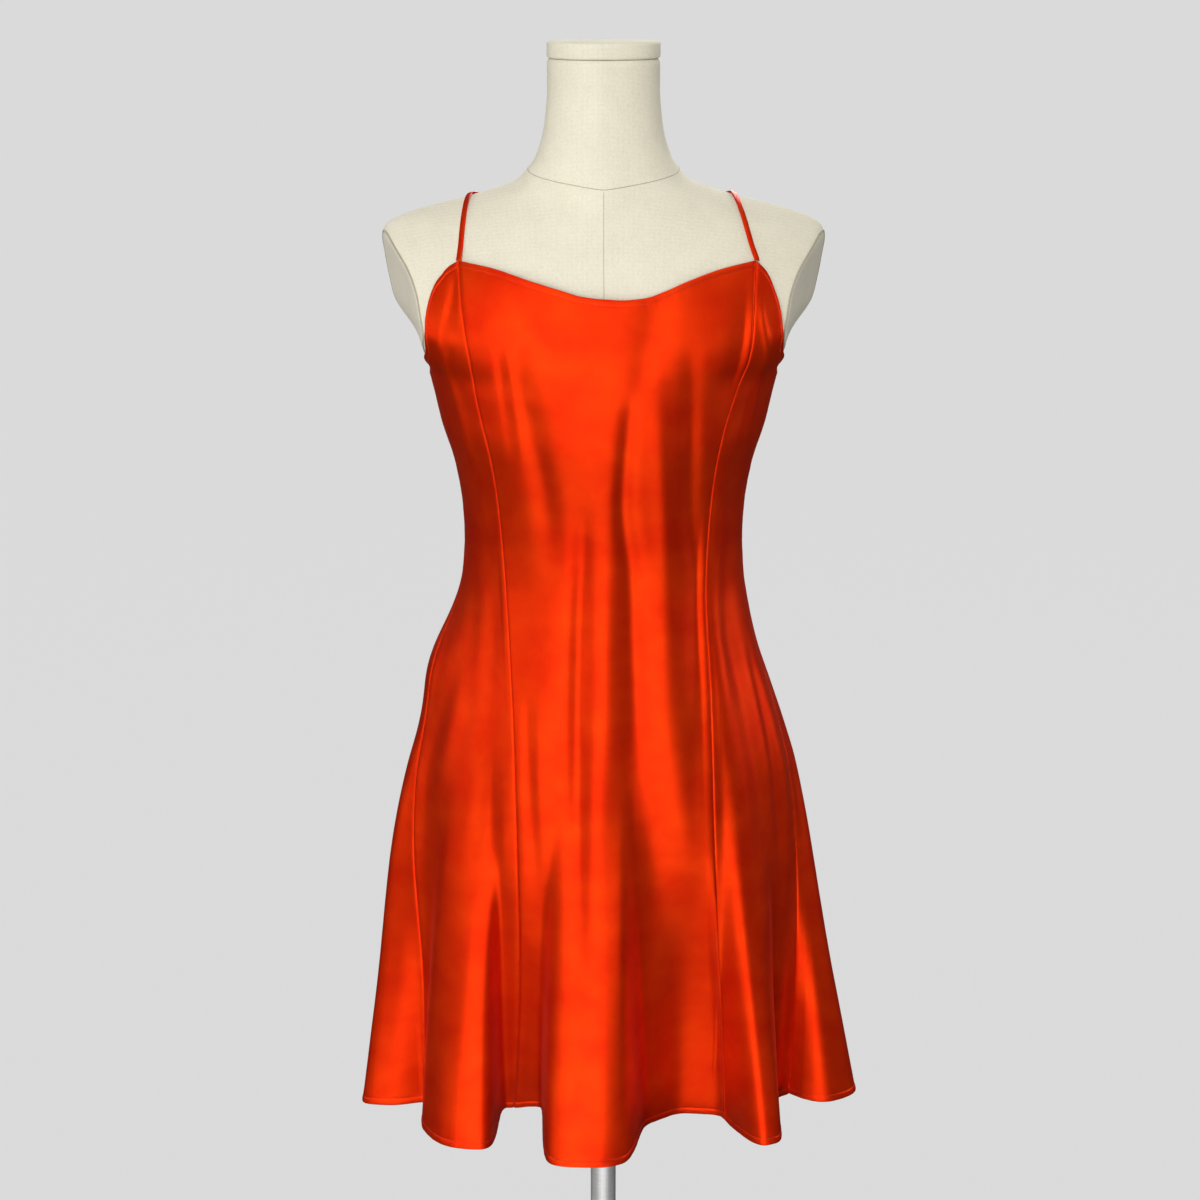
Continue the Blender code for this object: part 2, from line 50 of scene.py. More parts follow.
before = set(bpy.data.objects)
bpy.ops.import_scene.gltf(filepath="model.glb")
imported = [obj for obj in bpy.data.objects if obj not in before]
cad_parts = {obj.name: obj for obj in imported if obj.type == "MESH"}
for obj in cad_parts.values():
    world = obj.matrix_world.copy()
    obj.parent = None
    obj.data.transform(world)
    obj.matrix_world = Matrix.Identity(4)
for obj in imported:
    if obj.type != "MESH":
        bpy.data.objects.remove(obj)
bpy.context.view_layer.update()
bpy.ops.object.select_all(action="DESELECT")
scene = bpy.context.scene

# Camera, floor and light
studio = {
    "cameraPlace": (-0.0032, -2.2, 1.4145),
    "cameraTilt": 75.0,
    "lens": 72.78,
    "sensor": 36.0,
    "backdrop": (0.701, 0.701, 0.701, 1.0),
    "farthest": 200.0,
    "floorRadius": 90.0,
    "floorSides": 96,
    "floorLook": {"Base Color": (0.003, 0.003, 0.003, 1.0), "Roughness": 1.0,
                  "Specular IOR Level": 0.0, "Emission Strength": 1.0,
                  "Emission Color": (0.701, 0.701, 0.701, 1.0)},
}
lamps = [
    # name, place, width, height, watts, height aimed at over the origin
    ("keyLamp", (-0.35, -3.3, 1.25), 2.1, 2.6, 66.0, 0.85),
    ("leftLamp", (-2.6, -1.2, 1.15), 2.4, 1.6, 28.0, 0.80),
    ("rightLamp", (2.7, 0.1, 1.60), 0.9, 1.6, 26.0, 1.00),
    ("lowLamp", (-0.10, -1.30, 0.04), 1.6, 1.0, 11.0, 0.80),
    ("highLamp", (-0.5, -2.6, 2.9), 1.1, 0.9, 24.0, 1.1),
    ("backLampLeft", (0.7, 2.9, 2.5), 1.4, 1.2, 75.0, 0.80),
    ("backLampRight", (-2.4, 1.9, 2.3), 1.0, 1.2, 16.0, 0.75),
    ("topLamp", (0.1, -0.5, 3.4), 1.8, 1.6, 22.0, 0.80),
]


def newMaterial(name, settings):
    made = bpy.data.materials.new(name)
    made.use_nodes = True
    shader = made.node_tree.nodes["Principled BSDF"]
    for socket, value in settings.items():
        shader.inputs[socket].default_value = value
    return made, made.node_tree, shader


def addCamera():
    data = bpy.data.cameras.new("camera")
    data.lens = studio["lens"]
    data.sensor_width = studio["sensor"]
    data.clip_end = studio["farthest"]
    camera = bpy.data.objects.new("camera", data)
    camera.location = studio["cameraPlace"]
    camera.rotation_euler = (math.radians(studio["cameraTilt"]), 0.0, 0.0)
    scene.collection.objects.link(camera)
    scene.camera = camera


def addLamp(name, place, width, height, watts, aimHeight):
    data = bpy.data.lights.new(name, "AREA")
    data.shape = "RECTANGLE"
    data.size = width
    data.size_y = height
    data.energy = watts
    lamp = bpy.data.objects.new(name, data)
    lamp.location = place
    aim = Vector((0.0, 0.0, aimHeight)) - Vector(place)
    lamp.rotation_euler = aim.to_track_quat("-Z", "Y").to_euler()
    lamp.visible_camera = False
    scene.collection.objects.link(lamp)


def addStage():
    world = bpy.data.worlds.new("surround")
    world.use_nodes = True
    world.node_tree.nodes["Background"].inputs["Color"].default_value = studio["backdrop"]
    world.cycles_visibility.diffuse = False
    world.cycles_visibility.glossy = False
    scene.world = world
    bpy.ops.mesh.primitive_circle_add(vertices=studio["floorSides"], radius=studio["floorRadius"],
                                      fill_type="NGON")
    floor = bpy.context.object
    floor.name = "floor"
    floor.data.materials.append(newMaterial("pale floor", studio["floorLook"])[0])
    floor.visible_diffuse = floor.visible_glossy = False
    floor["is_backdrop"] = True


addCamera()
addStage()
for lamp in lamps:
    addLamp(*lamp)
scene.view_settings.view_transform = "Standard"
print("camera, floor and lamps are set")


# Tables of the object's shape, in millimetres but for these columns
plainColumns = ("around", "exponent", "turn", "share", "over", "right", "left", "span", "name")


def table(columns, rows):
    made = {}
    for name, values in zip(columns.split(), zip(*sorted(rows))):
        made[name] = np.array(values) if name in plainColumns else np.array(values) / 1000
    return made


# Horizontal sections of the form
torso = table("height halfWidth front back exponent", [
    (1321.7, 48.5, 48.5, 48.5, 2), (1319.5, 50.2, 50.2, 50.2, 2), (1295, 50.2, 50.2, 50.2, 2),
    (1272, 52, 51.5, 52, 2), (1258, 54, 53.2, 54, 2), (1244, 58, 55.6, 57.5, 2),
    (1236, 61, 57.2, 59.8, 2), (1229, 65.5, 58.8, 62, 1.9), (1222, 71, 60.5, 64.2, 1.75),
    (1215, 80, 62.5, 66.7, 1.6), (1208, 99, 64.6, 69.2, 1.42), (1201, 123, 66.8, 71.7, 1.32),
    (1194, 151, 69.2, 74.2, 1.28), (1187, 175, 71.6, 76.7, 1.33), (1180, 191, 74.2, 79.1, 1.42),
    (1172, 199.5, 77.2, 81.7, 1.55), (1158, 205, 82.6, 85.7, 1.85), (1130, 206, 93.5, 92.2, 2.45),
    (1090, 192, 109, 98.5, 2.85), (1070, 173, 115.8, 100.8, 2.65), (1050, 157, 120.8, 101.8, 2.35),
    (1030, 151.5, 123.5, 101.4, 2.25), (1000, 144.8, 123.2, 99, 2.2), (960, 132.8, 115, 93.5, 2.15),
    (920, 126.5, 104, 89, 2.1), (890, 125, 97.5, 88, 2.1), (860, 126.2, 95.5, 91.5, 2.1),
    (820, 131.8, 98.5, 102, 2.1), (780, 139, 103, 114, 2.1), (740, 148, 107, 123, 2.1),
    (700, 156, 108, 127, 2.1), (660, 160, 107.5, 126, 2.1), (625, 159, 106, 123, 2.1),
    (608, 155, 103, 119, 2.1), (600, 149, 97.5, 113, 2.1),
])
# The flat plate where an arm would be
plate = table("height reach turn", [
    (1210, 225, 0.32), (1180, 215, 0.32), (1165, 213, 0.32), (1145, 207, 0.32), (1124, 200.5, 0.3),
    (1105, 195.5, 0.27), (1087, 183.5, 0.19), (1069, 166.5, 0.06), (1050, 153.5, 0), (1020, 260, 0),
])
plateBack = 0.045
plateRounding = 0.006
# How much wider than the form the dress is where it is fitted
ease = table("height side front back", [
    (1200, 2.2, 2.2, 2), (1100, 3, 4.2, 2.4), (1030, 2.8, 4, 3), (960, 2.8, 5, 5), (890, 3, 8, 7),
    (820, 4, 7, 6),
])
# Sections of the skirt between its folds
skirt = table("height halfWidth front back exponent", [
    (900, 126.8, 103, 96, 2.1), (860, 128.6, 104, 98.5, 2.1), (820, 135.6, 106, 109, 2.1),
    (784, 144, 110, 122, 2.1), (745, 156, 115, 132, 2.1), (705, 167.5, 118.5, 138.5, 2.1),
    (665, 177, 120, 142, 2.05), (600, 186, 119, 142, 2), (540, 191.5, 113, 138, 2),
    (460, 197.5, 102, 129, 2), (395, 202, 95, 123, 2), (325.4, 205, 92, 120, 2),
])
# Folds of the skirt, from the right side of the back to the left: how far out each lies at the hem,
# its lean sideways and the height it starts at
folds = table("around out lean starts name", [
    (-152, -26, 0, 700, "valley"), (-126, 36, 0, 780, "crest"), (-101, -20, 0, 760, "valley"),
    (-78.5, 38, 0, 820, "crest"), (-73, 21, 0, 780, "flank"),
    (-62, -12, 0, 740, "valley, side seam"), (-49, 36, 0, 760, "flank"), (-37, 56, 4, 720, "crest"),
    (-33.5, 50, 24, 650, "crest's edge over the valley"), (-30.5, -34, -4, 630, "valley's edge"),
    (-25, -40, 0, 600, "valley, princess seam"), (-19.5, -44, 0, 600, "valley"),
    (-17, -40, -4, 620, "valley's edge"), (-12.5, 68, -1, 655, "crest's edge"),
    (-8, 74, 0, 680, "crest"), (-1, 74, 0, 700, "crest, centre"), (5, 66, 0, 700, "crest"),
    (8, 36, 0, 690, "flank"), (10.5, -4, 0, 660, "foot of the flank"),
    (15, -18, 0, 650, "valley's edge"), (23, -29, 0, 640, "valley"),
    (31, -19, 4, 660, "valley's edge at the slit"), (33.8, -10, 6, 660, "slit"),
    (38, 34, 2, 720, "crest's edge"), (41.5, 48, 0, 740, "crest"),
    (45, 48, 0, 740, "crest's far edge"), (50.5, 24, 0, 740, "flank"),
    (59, -24, 0, 700, "valley, side seam"), (75, -18, 0, 700, "valley"),
    (85, 22, -20, 760, "flank"), (93, 44, -16, 800, "crest"), (113, -20, 0, 740, "valley"),
    (133, 32, 0, 760, "crest"), (156, -28, 0, 700, "valley"),
    (180, 36, 0, 740, "crest, centre back"),
])
for column in ("around", "out", "lean", "starts"):      # carried round past the back centre
    row, turn = folds[column], 360.0 if column == "around" else 0.0
    folds[column] = np.concatenate((row[-2:] - turn, row, row[:2] + turn))
# Broad swellings at the right side
bulges = table("around height out span tall", [(-83, 610, 7, 14, 130), (-86, 775, 13, 16, 46)])
# Princess seams by their distance from the middle, side seams by their direction
princessRight = table("height across", [
    (1150, -126.5), (1119, -123.5), (1086, -118.7), (1033, -111.2), (979, -99.6), (940, -94.2),
    (883, -89.7), (811, -85.2), (702, -80.5), (562, -78.5), (467, -81.5), (370, -89), (325.4, -94),
])
princessLeft = table("height across", [
    (1150, 133), (1093, 130), (1070, 127), (1043, 117.5), (1002, 105), (967, 98.7), (923, 94.5),
    (858, 92), (760, 97), (635, 101.5), (510, 107.5), (435, 111.5), (325.4, 115),
])
sides = table("height right left", [
    (1150, -88, 88), (960, -87, 87), (780, -80, 84), (600, -70, 80), (450, -63, 77),
    (325.4, -61, 75),
])
# Top edges of the panels by their share of the panel's width, from its -X side
neckline = table("share height", [
    (0, 1151.2), (0.13, 1146), (0.26, 1137.2), (0.38, 1128.5), (0.44, 1123.5), (0.51, 1120.8),
    (0.57, 1122.5), (0.63, 1127.2), (0.73, 1136.2), (0.87, 1145.8), (1, 1151.2),
])
armholeRight = table("share height", [
    (0, 1057), (0.3, 1061), (0.55, 1071), (0.655, 1081), (0.708, 1091), (0.747, 1103), (0.79, 1116),
    (0.827, 1127), (0.853, 1133.5), (0.885, 1138.8), (0.93, 1145.7), (1, 1151.2),
])
armholeLeft = table("share height", [
    (0, 1151.2), (0.061, 1144), (0.095, 1137.3), (0.129, 1127), (0.162, 1117), (0.19, 1108),
    (0.22, 1097.5), (0.255, 1088.5), (0.3, 1081), (0.42, 1071), (0.7, 1061), (1, 1057),
])
backEdgeLeft = table("share height", [
    (0, 1057), (0.3, 1052), (0.65, 1047.4), (0.82, 1045.7), (0.93, 1045.1), (1, 1045),
])
backEdgeRight = {"share": 1 - backEdgeLeft["share"][::-1], "height": backEdgeLeft["height"][::-1]}

dress = {
    "hemHeight": 0.3254,
    "foldGrowth": 1.7,
    "foldSoftness": 1.3,        # degrees
    "followHem": 0.75,          # how far the columns are spaced by the hem's length
    "fittedAbove": 0.880,
    "looseBelow": 0.800,
    "outside": 0.0010,          # the cloth's outer face over the inside of its space
    "cloth": 0.0006,
    "seamGap": 0.00001,
    "edgeInset": 0.004,
    "mapShare": 0.9,            # how wide the cloth's map is drawn for its width
    "slitTop": 0.560,
    "slitUnderlap": 3.2,        # degrees
    "slitDrop": 0.006,
    "slitDropFrom": 0.04,       # shares of the panel's width
    "slitDropTo": 0.10,
    "slitEasing": 0.050,
    "slitTuck": 0.0018,
    "slitTuckWidth": 7.0,       # degrees
}


def through(rows, column, at):       # smooth curve through a table's rows that never overshoots
    x = next(iter(rows.values()))
    y = rows[column]
    step = np.diff(x)
    slope = np.diff(y) / step
    steady = slope[:-1] * slope[1:] > 0
    total = np.where(steady, slope[:-1] + slope[1:], 1.0)
    inner = np.where(steady, 2 * slope[:-1] * slope[1:] / total, 0.0)
    tangent = np.concatenate(([slope[0]], inner, [slope[-1]]))
    at = np.clip(at, x[0], x[-1])
    i = np.clip(np.searchsorted(x, at) - 1, 0, len(x) - 2)
    u = (at - x[i]) / step[i]
    start = (1 + 2 * u) * (1 - u) ** 2 * y[i] + u * (1 - u) ** 2 * step[i] * tangent[i]
    end = u * u * (3 - 2 * u) * y[i + 1] + u * u * (u - 1) * step[i] * tangent[i + 1]
    return start + end


def ramp(value, low, high):
    u = np.clip((value - low) / (high - low), 0.0, 1.0)
    return u * u * (3 - 2 * u)


def bump(value, width):
    return np.exp(-(value / width) ** 2)


def softMin(a, b, width):
    mix = np.clip(0.5 + 0.5 * (b - a) / width, 0.0, 1.0)
    return b + (a - b) * mix - width * mix * (1 - mix)


def ripple(value, seed):             # an uneven wave between -1 and 1
    return (np.sin(value + seed) + 0.6 * np.sin(2.31 * value + 1.7 * seed)
            + 0.4 * np.sin(4.13 * value + 2.9 * seed)) / 2.0


def unitVectors(vectors):
    return vectors / np.maximum(np.linalg.norm(vectors, axis=-1, keepdims=True), 1e-9)


def superellipse(around, halfWidth, front, back, exponent):
    angle = np.radians(around)
    power = 2.0 / exponent
    depth = np.where(np.cos(angle) > 0, front, back)
    x = halfWidth * np.sign(np.sin(angle)) * np.abs(np.sin(angle)) ** power
    y = -depth * np.sign(np.cos(angle)) * np.abs(np.cos(angle)) ** power
    return x, y


def plateLimit(y, height, extra):
    turn = through(plate, "turn", height)
    return through(plate, "reach", height) + turn * (y - plateBack) + extra


def surfaceNormal(surface, around, height, turn, rise):
    across = surface(around + turn, height) - surface(around - turn, height)
    down = surface(around, height - rise) - surface(around, height + rise)
    return unitVectors(np.cross(down, across))


def cutByPlate(x, y, height, extra):
    return np.sign(x) * softMin(np.abs(x), plateLimit(y, height, extra), plateRounding)


def torsoSection(around, height):
    size = [through(torso, column, height) for column in ("halfWidth", "front", "back", "exponent")]
    return superellipse(around, *size)


def torsoPoint(around, height):
    x, y = torsoSection(around, height)
    return np.stack([cutByPlate(x, y, height, 0.0), y, height + 0 * x], axis=-1)


def sectionSize(height):
    fitted = ramp(height, dress["looseBelow"], dress["fittedAbove"])
    size = []
    slacks = {"halfWidth": "side", "front": "front", "back": "back", "exponent": None}
    for column, slack in slacks.items():
        body = through(torso, column, height) + (through(ease, slack, height) if slack else 0.0)
        size.append(fitted * body + (1 - fitted) * through(skirt, column, height))
    return size


def dressSection(around, height):
    x, y = superellipse(around, *sectionSize(height))
    return cutByPlate(x, y, height, through(ease, "side", height)), y


foldStep = 0.25
fineTurn = np.arange(-200.0, 200.01, foldStep)
window = bump(np.arange(-16, 17) * foldStep, dress["foldSoftness"])
fineFolds = {}
for column in ("out", "lean", "starts"):
    fineFolds[column] = np.convolve(through(folds, column, fineTurn), window / window.sum(), "same")


def foldValue(column, turned):
    return np.interp(turned, fineTurn, fineFolds[column])


def dressInside(around, height):
    x, y = dressSection(around, height)
    ahead = dressSection(around + 0.5, height)
    behind = dressSection(around - 0.5, height)
    alongX, alongY = ahead[0] - behind[0], ahead[1] - behind[1]
    length = np.hypot(alongX, alongY)
    alongX, alongY = alongX / length, alongY / length
    turned = (around + 180.0) % 360.0 - 180.0
    starts = foldValue("starts", turned)
    share = np.maximum((starts - height) / (starts - dress["hemHeight"]), 0.0)
    growth = share ** dress["foldGrowth"]
    out = growth * foldValue("out", turned)
    for middle, level, bulge, wide, tall in zip(*bulges.values()):
        out = out + bulge * bump(turned - middle, wide) * bump(height - level, tall)
    lean = growth * foldValue("lean", turned)
    return np.stack([x + out * alongY + lean * alongX, y - out * alongX + lean * alongY,
                     height + 0 * x], axis=-1)


def facePoint(around, height, lift, seamEdge=None):
    if seamEdge is not None:
        openPart = 1 - ramp(height, dress["slitTop"], dress["slitTop"] + dress["slitEasing"])
        near = 1 - ramp(around, seamEdge, seamEdge + dress["slitTuckWidth"])
        lift = lift - dress["slitTuck"] * openPart * near
    normal = surfaceNormal(dressInside, around, height, 0.3, 0.002)
    return dressInside(around, height) + lift[..., None] * normal, normal


def princessSeam(rows):
    def direction(height):
        across = through(rows, "across", height)
        halfWidth, _, _, exponent = sectionSize(height)
        share = np.clip(np.abs(across) / halfWidth, 0.0, 1.0)
        return np.sign(across) * np.degrees(np.arcsin(share ** (exponent / 2)))
    return direction


def sideSeam(column, turn=0.0):
    return lambda height: through(sides, column, height) + turn


def backSeam(height):
    return 180.0 + 0 * height


# Finishes
def addNode(tree, kind, source, output, **settings):
    node = tree.nodes.new("ShaderNode" + kind)
    for socket, value in settings.items():
        node.inputs[socket].default_value = value
    tree.links.new(source, node.inputs["Vector"])
    return node.outputs[output]


def addNoise(tree, source, scale, detail):
    return addNode(tree, "TexNoise", source, "Fac", Scale=scale, Detail=detail)


def addStretch(tree, source, scale):
    return addNode(tree, "Mapping", source, "Vector", Scale=scale)


def addThreads(tree, source, scale, direction, distortion=0.0):
    wave = addNode(tree, "TexWave", source, "Fac", Scale=scale, Distortion=distortion, Detail=1.0)
    wave.node.bands_direction = direction
    return wave


def addMath(tree, operation, first, second):
    node = tree.nodes.new("ShaderNodeMath")
    node.operation = operation
    for socket, value in zip(node.inputs, (first, second)):
        if isinstance(value, float):
            socket.default_value = value
        else:
            tree.links.new(value, socket)
    return node.outputs["Value"]


def addSum(tree, total, *terms):     # each term is an output with its share
    for source, share in terms:
        part = source if share == 1.0 else addMath(tree, "MULTIPLY", source, share)
        total = addMath(tree, "ADD", total, part)
    return total


def addColours(tree, shader, source, *stops):
    spread = tree.nodes.new("ShaderNodeValToRGB")
    for mark, (position, colour) in zip(spread.color_ramp.elements, stops):
        mark.position, mark.color = position, colour
    tree.links.new(source, spread.inputs["Fac"])
    tree.links.new(spread.outputs["Color"], shader.inputs["Base Color"])


def addBump(tree, shader, source, strength, distance):
    node = tree.nodes.new("ShaderNodeBump")
    node.inputs["Strength"].default_value = strength
    node.inputs["Distance"].default_value = distance
    tree.links.new(source, node.inputs["Height"])
    tree.links.new(node.outputs["Normal"], shader.inputs["Normal"])


def objectPlace(tree):
    return tree.nodes.new("ShaderNodeTexCoord").outputs["Object"]


satinLook = {
    "deep": (0.62, 0.018, 0.0012, 1.0),
    "full": (0.74, 0.037, 0.0016, 1.0),
    "shader": {"Roughness": 0.47, "Metallic": 0.70, "Specular IOR Level": 0.04,
               "Sheen Weight": 0.02, "Sheen Roughness": 0.35, "Sheen Tint": (1.0, 0.72, 0.62, 1.0)},
    "mottleScale": 26.0,
    "threadScale": 780.0,
    "weftShare": 0.55,
    "weftHeight": 0.5,
    "slubScale": 420.0,
    "streakScale": 130.0,
    "streakStretch": (1.0, 0.14, 1.0),
    "streakHeight": 6.0,
    "bump": (0.10, 0.00012),
}


def makeSatin():
    look = satinLook
    made, tree, shader = newMaterial("redSatin", look["shader"])
    uvNode = tree.nodes.new("ShaderNodeUVMap")
    uvNode.uv_map = "clothMap"
    place = uvNode.outputs["UV"]
    mottle = addNoise(tree, place, look["mottleScale"], 4.0)
    addColours(tree, shader, mottle, (0.30, look["deep"]), (0.75, look["full"]))
    warp = addThreads(tree, place, look["threadScale"], "X")
    weft = addThreads(tree, place, look["threadScale"] * look["weftShare"], "Y")
    slub = addNoise(tree, place, look["slubScale"], 2.0)
    drawn = addStretch(tree, place, look["streakStretch"])
    streaks = addNoise(tree, drawn, look["streakScale"], 3.0)
    height = addSum(tree, warp, (weft, look["weftHeight"]), (slub, 1.0),
                    (streaks, look["streakHeight"]))
    addBump(tree, shader, height, *look["bump"])
    return made


linenLook = {
    "pale": (0.79, 0.745, 0.605, 1.0),
    "shade": (0.62, 0.575, 0.44, 1.0),
    "shader": {"Roughness": 0.92, "Specular IOR Level": 0.15, "Sheen Weight": 0.12},
    "fineScale": 520.0,
    "patchScale": 45.0,
    "threadScale": 290.0,
    "threadWaver": 1.2,
    "fineShare": 0.45,
    "threadShare": 0.25,
    "patchShare": 0.25,
    "bump": (0.35, 0.0004),
}


def makeLinen():
    look = linenLook
    made, tree, shader = newMaterial("formLinen", look["shader"])
    place = objectPlace(tree)
    fine = addNoise(tree, place, look["fineScale"], 3.0)
    patch = addNoise(tree, place, look["patchScale"], 3.0)
    warp = addThreads(tree, place, look["threadScale"], "X", look["threadWaver"])
    weft = addThreads(tree, place, look["threadScale"], "Z", look["threadWaver"])
    mix = addSum(tree, addMath(tree, "MULTIPLY", fine, look["fineShare"]),
                 (addMath(tree, "ADD", warp, weft), look["threadShare"]),
                 (patch, look["patchShare"]))
    addColours(tree, shader, mix, (0.35, look["shade"]), (0.78, look["pale"]))
    addBump(tree, shader, mix, *look["bump"])
    return made


threadLook = {
    "shader": {"Roughness": 0.55, "Sheen Weight": 0.2},
    "twistScale": 900.0,
    "darkShare": 0.7,
}


def makeThread(name, colour):
    look = threadLook
    made, tree, shader = newMaterial(name, look["shader"])
    twist = addThreads(tree, objectPlace(tree), look["twistScale"], "DIAGONAL")
    dark = tuple(look["darkShare"] * value for value in colour[:3]) + (1.0,)
    addColours(tree, shader, twist, (0.2, dark), (0.8, colour))
    return made


steelLook = {
    "dark": (0.60, 0.60, 0.60, 1.0),
    "light": (0.74, 0.74, 0.73, 1.0),
    "shader": {"Metallic": 0.55},
    "brushScale": 60.0,
    "brushStretch": (1.0, 1.0, 30.0),
    "roughLow": 0.34,
    "roughSpan": 0.18,
    "bump": (0.05, 0.0003),
}


def makeSteel():
    look = steelLook
    made, tree, shader = newMaterial("brushedSteel", look["shader"])
    drawn = addStretch(tree, objectPlace(tree), look["brushStretch"])
    lines = addNoise(tree, drawn, look["brushScale"], 4.0)
    addColours(tree, shader, lines, (0.3, look["dark"]), (0.7, look["light"]))
    rough = addMath(tree, "MULTIPLY", lines, look["roughSpan"])
    rough = addMath(tree, "ADD", rough, look["roughLow"])
    tree.links.new(rough, shader.inputs["Roughness"])
    addBump(tree, shader, lines, *look["bump"])
    return made


satin = makeSatin()
linen = makeLinen()
redThread = makeThread("redThread", (0.42, 0.012, 0.004, 1.0))
paleThread = makeThread("formThread", (0.46, 0.40, 0.30, 1.0))
steel = makeSteel()
print("finishes are made")


def newPiece(name, points, faces, material, uvs=None):
    mesh = bpy.data.meshes.new(name)
    mesh.from_pydata(points.tolist(), [], faces)
    if uvs is not None:
        layer = mesh.uv_layers.new(name="clothMap")
        corner = np.zeros(len(mesh.loops), np.int32)
        mesh.loops.foreach_get("vertex_index", corner)
        layer.data.foreach_set("uv", uvs[corner].astype(np.float32).ravel())
    mesh.materials.append(material)
    mesh.shade_smooth()
    piece = bpy.data.objects.new(name, mesh)
    scene.collection.objects.link(piece)
    return piece


def gridFaces(rows, columns, closed=False):
    a = np.arange(rows * columns).reshape(rows, columns)
    if closed:
        a = np.concatenate((a, a[:, :1]), axis=1)
    quads = np.stack([a[:-1, :-1], a[1:, :-1], a[1:, 1:], a[:-1, 1:]], axis=-1)
    return quads.reshape(-1, 4).tolist()


def applyModifiers(piece):
    bpy.context.view_layer.objects.active = piece
    piece.select_set(True)
    for modifier in list(piece.modifiers):
        bpy.ops.object.modifier_apply(modifier=modifier.name)
    piece.select_set(False)


def runAlong(line):                  # the length from a line's start to each of its points
    return np.concatenate(([0.0], np.cumsum(np.linalg.norm(np.diff(line, axis=0), axis=1))))


def interpolate(at, run, values):
    return np.stack([np.interp(at, run, values[:, i]) for i in range(3)], axis=1)


def evenPoints(line, up, spacing):
    run = runAlong(line)
    at = (np.arange(int(run[-1] / spacing)) + 0.5) * spacing
    along = interpolate(at + 0.0004, run, line) - interpolate(at - 0.0004, run, line)
    return interpolate(at, run, line), unitVectors(along), unitVectors(interpolate(at, run, up))


def stitchMesh(runs, length, pitch, radius):     # small long beads lying along each line
    points, faces = [], []
    half = [(-0.5, 0.25, -0.8), (-0.3, 1.0, 0.3), (0.0, 1.15, 0.5)]
    stations = half + [(-share, wide, high) for share, wide, high in half[1::-1]]
    corners = 6
    walls = np.array(gridFaces(len(stations), corners, closed=True))[:, [0, 3, 2, 1]]
    for line, up in runs:
        for place, along, raised in zip(*evenPoints(line, up, pitch)):
            side = np.cross(raised, along)
            first = len(points)
            for share, wide, high in stations:
                centre = place + share * length * along + high * radius * raised
                for corner in range(corners):
                    angle = 2 * math.pi * corner / corners
                    outwards = math.cos(angle) * side + math.sin(angle) * raised
                    points.append(centre + wide * radius * outwards)
            faces.extend((first + walls).tolist())
            faces.append(tuple(reversed(range(first, first + corners))))
            faces.append(tuple(range(len(points) - corners, len(points))))
    return np.array(points), faces


def closedFaces(rings, corners):     # the sides of a tube and its two ends, facing outwards
    faces = gridFaces(rings, corners, closed=True)
    faces.append(tuple(range(corners)))
    faces.append(tuple(reversed(range((rings - 1) * corners, rings * corners))))
    return faces


def sweep(line, up, across, height):     # a section carried along a line
    along = unitVectors(np.gradient(line, axis=0))
    side = unitVectors(np.cross(along, up))
    rise = np.cross(side, along)
    points = line[:, None] + across[:, None] * side[:, None] + height[:, None] * rise[:, None]
    return points.reshape(-1, 3), closedFaces(len(line), len(across))


def addCord(name, line, up, facts):
    angle = np.arange(facts["corners"]) * 2 * math.pi / facts["corners"]
    points, faces = sweep(line - facts["sink"] * up, up, facts["radius"] * np.cos(angle),
                          facts["radius"] * np.sin(angle))
    cord = newPiece(name, points, faces, paleThread)
    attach(cord, "root")


# Creases listed one by one: each is a line down the cloth, with the crease's depth below the
# surface, or its rise above it where negative, and its half width. Those at the front are placed by
# their distance from the middle, and the others by their direction.
def crease(*rows):
    return table("height around depth wide", rows)


def frontCrease(*rows):
    return table("height across depth wide", rows)


